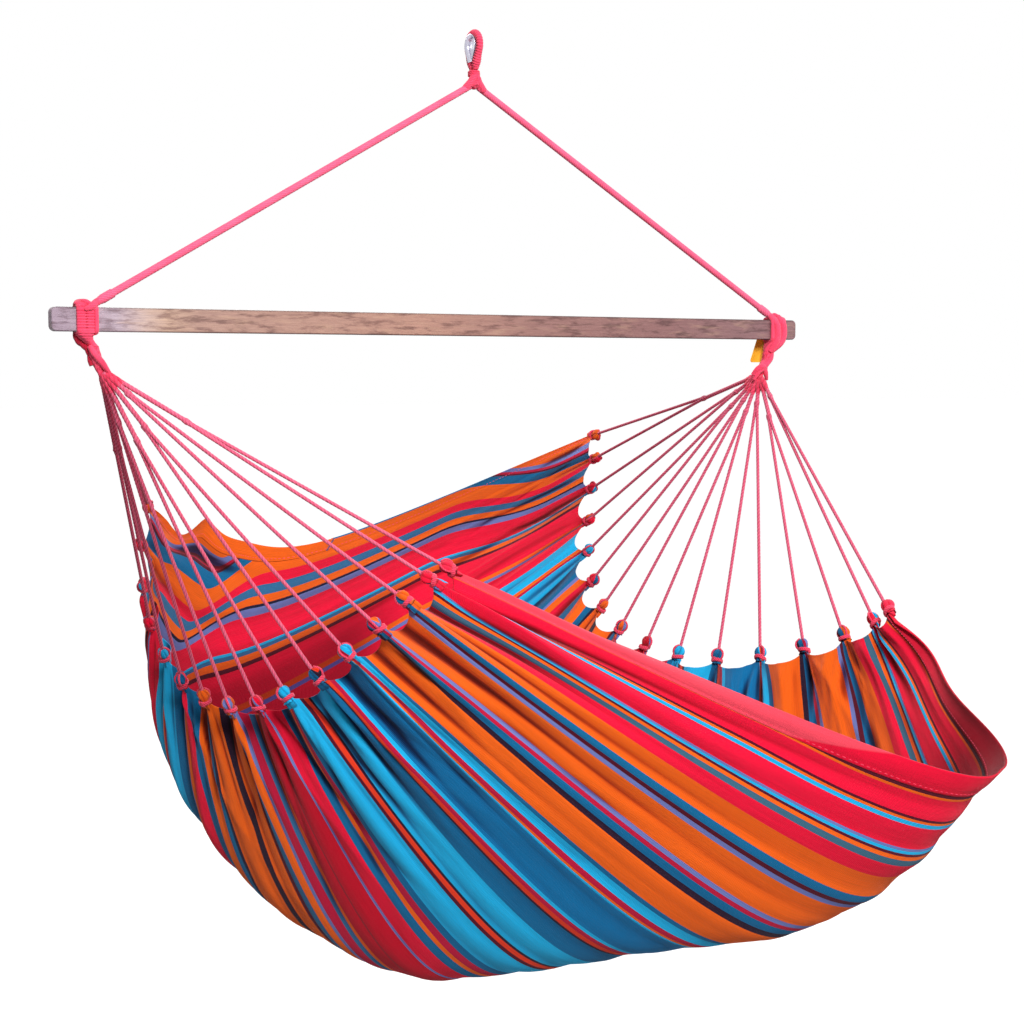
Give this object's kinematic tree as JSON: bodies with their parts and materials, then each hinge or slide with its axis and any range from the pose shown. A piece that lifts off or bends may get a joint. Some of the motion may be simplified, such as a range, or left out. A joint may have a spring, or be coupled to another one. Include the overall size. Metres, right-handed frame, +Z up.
{
  "type": "hammock chair",
  "caption": "Hanging chair: a striped cloth seat slung on fans of knotted cords from a wooden spreader bar, which hangs by two ropes from one eye with a steel thimble.",
  "frame": {"origin": "middle of the thimble's inner crown, where the hook bears", "axes": "Z up, X along the spreader bar towards its right end, Y to the back of the seat; the sitter faces -Y"},
  "size_m": [1.39, 1.3058, 1.5417],
  "materials": {
    "rope": "twisted and hitched cotton rope, pink-red, matt",
    "cord": "thin twisted cotton cord, pink-red, matt",
    "bar_wood": "brown stained wood with fine grain, satin",
    "steel": "bare steel, smooth",
    "striped_cloth": "woven cotton with orange, red, blue, teal and purple stripes, matt",
    "hem_cloth": "folded woven cotton hem, coral red, matt",
    "tag": "plain thin card, left bare"
  },
  "bodies": {
    "hanger": {"steel_thimble": "steel", "top_eye": "rope"},
    "seizing": {"top_seizing": "rope"},
    "crown": {"crown_knot": "rope"},
    "yoke": {"suspension_rope_left": "rope", "suspension_rope_right": "rope", "bar_loop_left": "rope", "bar_loop_right": "rope", "blank_tag": "tag"},
    "bar": {"spreader_bar": "bar_wood"},
    "seat": {"neck_binding_left": "rope", "neck_binding_right": "rope", "seat_cloth": "striped_cloth", "front_hem": "hem_cloth", "back_hem": "striped_cloth", "cord_left_01": "cord", "cord_left_02": "cord", "cord_left_03": "cord", "cord_left_04": "cord", "cord_left_05": "cord", "cord_left_06": "cord", "cord_left_07": "cord", "cord_left_08": "cord", "cord_left_09": "cord", "cord_left_10": "cord", "cord_left_11": "cord", "cord_left_12": "cord", "cord_left_13": "cord", "cord_left_14": "cord", "cord_left_15": "cord", "cord_left_16": "cord", "cord_right_01": "cord", "cord_right_02": "cord", "cord_right_03": "cord", "cord_right_04": "cord", "cord_right_05": "cord", "cord_right_06": "cord", "cord_right_07": "cord", "cord_right_08": "cord", "cord_right_09": "cord", "cord_right_10": "cord", "cord_right_11": "cord", "cord_right_12": "cord", "cord_right_13": "cord", "cord_right_14": "cord", "cord_right_15": "cord", "cord_right_16": "cord"}
  },
  "joints": [
    {"name": "turn", "type": "hinge", "parent": "hanger", "child": "seizing", "pos_m": [0, 0, -0.052], "axis": [0, 0, 1], "range_deg": [-45, 45]},
    {"name": "swing_fore_aft", "type": "hinge", "parent": "seizing", "child": "crown", "pos_m": [0, 0, -0.074], "axis": [1, 0, 0], "range_deg": [-20, 20]},
    {"name": "swing_sideways", "type": "hinge", "parent": "crown", "child": "yoke", "pos_m": [0, 0, -0.074], "axis": [0, 1, 0], "range_deg": [-12, 12]},
    {"name": "bar_shift", "type": "slide", "parent": "yoke", "child": "bar", "axis": [1, 0, 0], "range_m": [-0.02, 0.03]},
    {"name": "seat_tip", "type": "hinge", "parent": "yoke", "child": "seat", "pos_m": [-0.0125, 0, -0.5203], "axis": [1, 0, 0], "range_deg": [-15, 15]}
  ]
}
